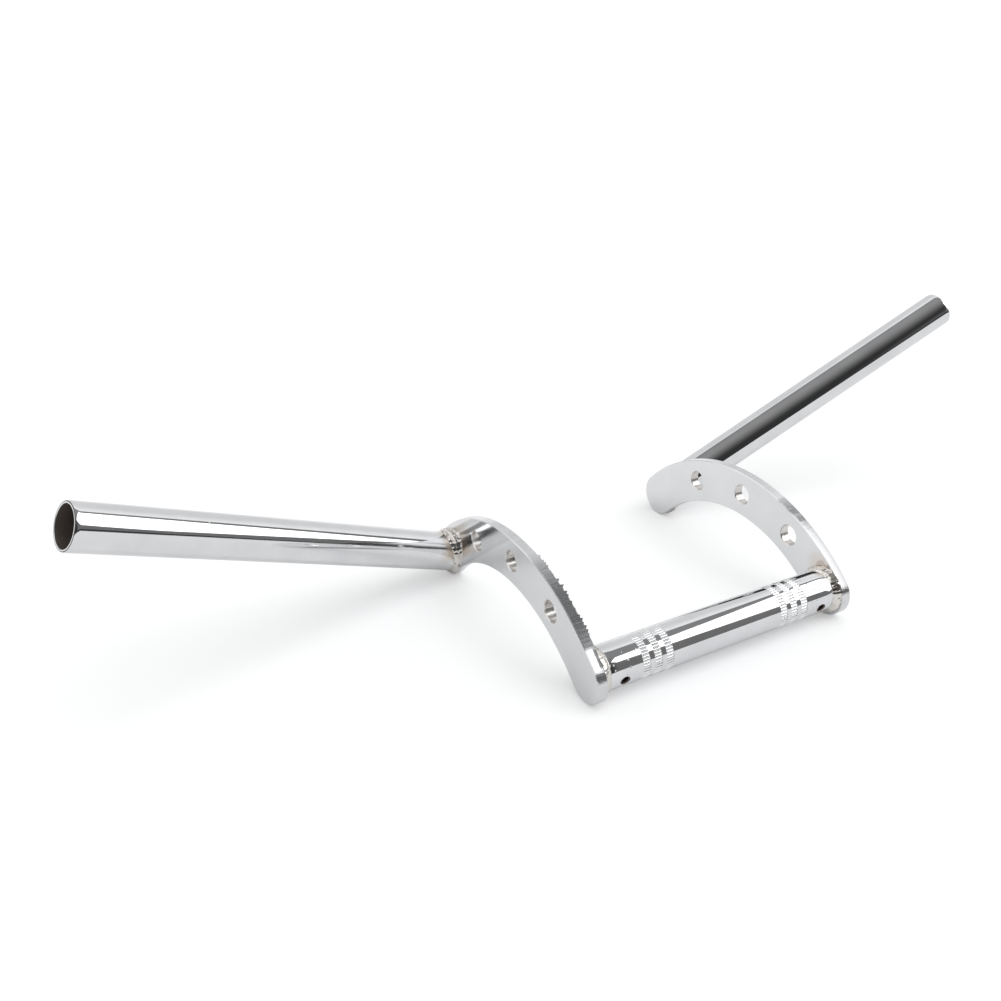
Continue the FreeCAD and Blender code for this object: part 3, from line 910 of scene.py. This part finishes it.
def makeFloor():
    half = studio["floorSize"] / 2
    bm = bmesh.new()
    corners = ((-1, -1), (1, -1), (1, 1), (-1, 1))
    bm.faces.new([bm.verts.new((x * half, y * half, studio["floorZ"])) for x, y in corners])
    mat = bpy.data.materials.new("floorPaper")
    mat.use_nodes = True
    tree = mat.node_tree
    tree.nodes.clear()
    white = grey(studio["floorColour"], studio["paperTint"])
    paper = addNode(tree, "ShaderNodeBsdfDiffuse", {"Color": white}).outputs[0]
    path = addNode(tree, "ShaderNodeLightPath").outputs
    spot = addNode(tree, "ShaderNodeTexCoord").outputs["Object"]
    ahead = xyz(tree, spot)["Y"]
    low, high = studio["mirrorLift"], studio["mirrorLift"] + studio["backLift"]
    mirrored = mathNode(tree, "MULTIPLY", path["Is Glossy Ray"],
                        remap(tree, ahead, *studio["backFrom"], low, high, True))
    lift = mathNode(tree, "MULTIPLY_ADD", path["Is Camera Ray"], studio["floorLift"], mirrored)
    glow = addNode(tree, "ShaderNodeEmission", {"Strength": lift}).outputs[0]
    nearby = addNode(tree, "ShaderNodeAddShader", {0: paper, 1: glow}).outputs[0]
    plain = remap(tree, path["Is Camera Ray"], 0, 1, studio["floorColour"], 1.0)
    distant = addNode(tree, "ShaderNodeEmission", {"Strength": plain}).outputs[0]
    fade = remap(tree, vectorNode(tree, "LENGTH", spot)["Value"], *studio["fade"], 0, 1, True)
    whole = addNode(tree, "ShaderNodeMixShader", {0: fade, 1: nearby, 2: distant}).outputs[0]
    ended = allOf(tree, remap(tree, ahead, *studio["paperEnd"], 0, 1, True), path["Is Glossy Ray"])
    dark = addNode(tree, "ShaderNodeEmission", {"Strength": studio["room"][0]}).outputs[0]
    whole = addNode(tree, "ShaderNodeMixShader", {0: ended, 1: whole, 2: dark}).outputs[0]
    addNode(tree, "ShaderNodeOutputMaterial", {"Surface": whole})
    finishMesh("floor", bm, [mat], 30)


def facing(tree, ray, normal):
    return vectorNode(tree, "DOT_PRODUCT", ray, Vector(normal).normalized())["Value"]


def beyond(tree, value, level, soft=studio["edgeSoft"]):
    return remap(tree, value, level - soft, level + soft, 0, 1, True)


def makeWorld():
    world = bpy.data.worlds.new("studioRoom")
    bpy.context.scene.world = world
    world.use_nodes = True
    tree = world.node_tree
    tree.nodes.clear()
    given = addNode(tree, "ShaderNodeTexCoord").outputs["Generated"]
    ray = vectorNode(tree, "NORMALIZE", given)[0]
    part = xyz(tree, ray)
    dark, dim = [grey(level) for level in studio["room"]]
    room = mixColour(tree, remap(tree, part["X"], *studio["roomTurn"], 0, 1, True), dark, dim)
    overhead = remap(tree, part["Z"], *studio["ceilingFrom"], 0, 1)
    overhead = mathNode(tree, "POWER", overhead, studio["ceilingCurve"])
    room = mixColour(tree, overhead, room, grey(studio["ceiling"]))
    # paper sheet behind the object
    edge, middle, foot = [grey(level, studio["sheetTint"]) for level in studio["sheet"]]
    faces = [facing(tree, ray, normal) for normal in studio["sheetFaces"]]
    paper = mixColour(tree, remap(tree, faces[0], 0.0, studio["sheetMiddle"], 0, 1), edge, middle)
    paper = mixColour(tree, remap(tree, part["Z"], studio["sheetFoot"], 0.0, 0, 1), paper, foot)
    room = mixColour(tree, allOf(tree, *[beyond(tree, face, 0.0) for face in faces]), room, paper)
    # softbox overhead, and a weaker light at the left
    box = allOf(tree, *[beyond(tree, facing(tree, ray, normal), 0.0) for normal in studio["boxFaces"]])
    room = mixColour(tree, box, room, grey(studio["softbox"], studio["paperTint"]))
    side = allOf(tree, remap(tree, part["X"], *studio["sideFrom"], 0, 1, True),
                 beyond(tree, part["Y"], *studio["sideBack"]),
                 beyond(tree, facing(tree, ray, studio["sideFace"]), 0.0, studio["sideSoft"]))
    room = mixColour(tree, side, room, grey(studio["sideLight"], studio["paperTint"]))
    # the floor as far as the horizon
    white = grey(studio["floorColour"], studio["paperTint"])
    ground = mixColour(tree, remap(tree, part["Y"], 0.0, studio["groundFront"], 0, 1), white, dark)
    room = mixColour(tree, remap(tree, part["Z"], 0.0, studio["horizon"], 0, 1), room, ground)
    path = addNode(tree, "ShaderNodeLightPath").outputs
    room = mixColour(tree, path["Is Diffuse Ray"], room, grey(studio["ambient"]))
    room = mixColour(tree, path["Is Camera Ray"], room, grey(1.0))
    light = addNode(tree, "ShaderNodeBackground", {"Color": room, "Strength": 1.0})
    addNode(tree, "ShaderNodeOutputWorld", {"Surface": light.outputs[0]})


def makeLamp():
    lamp = bpy.data.lights.new("softLamp", "SUN")
    lamp.energy = studio["lampStrength"]
    lamp.angle = studio["lampSpread"]
    holder = bpy.data.objects.new("softLamp", lamp)
    holder.location = studio["lampFrom"]
    holder.rotation_mode = "QUATERNION"
    holder.rotation_quaternion = (-studio["lampFrom"]).to_track_quat("-Z", "Y")
    holder.visible_glossy = False
    bpy.context.scene.collection.objects.link(holder)


photoCamera = {
    "at": Vector((-0.31614, -0.34719, 0.29692)),
    "aim": Vector((-0.08154, 0.10246, 0.05947)),
    "roll": math.radians(-1.917),
    "lens": 33.873,
    "sensor": 36.0,
    "clip": (0.01, 50.0),
}


def makeCamera():
    lens = bpy.data.cameras.new("photoCamera")
    lens.sensor_width = photoCamera["sensor"]
    lens.lens = photoCamera["lens"]
    lens.clip_start, lens.clip_end = photoCamera["clip"]
    camera = bpy.data.objects.new("photoCamera", lens)
    camera.location = photoCamera["at"]
    camera.rotation_mode = "QUATERNION"
    look = (photoCamera["aim"] - photoCamera["at"]).to_track_quat("-Z", "Y")
    camera.rotation_quaternion = look @ Quaternion((0, 0, 1), photoCamera["roll"])
    bpy.context.scene.collection.objects.link(camera)
    bpy.context.scene.camera = camera


makeFloor()
makeWorld()
makeLamp()
makeCamera()
bpy.context.scene.view_settings.view_transform = "Standard"
print("studio ready")

bpy.context.view_layer.update()
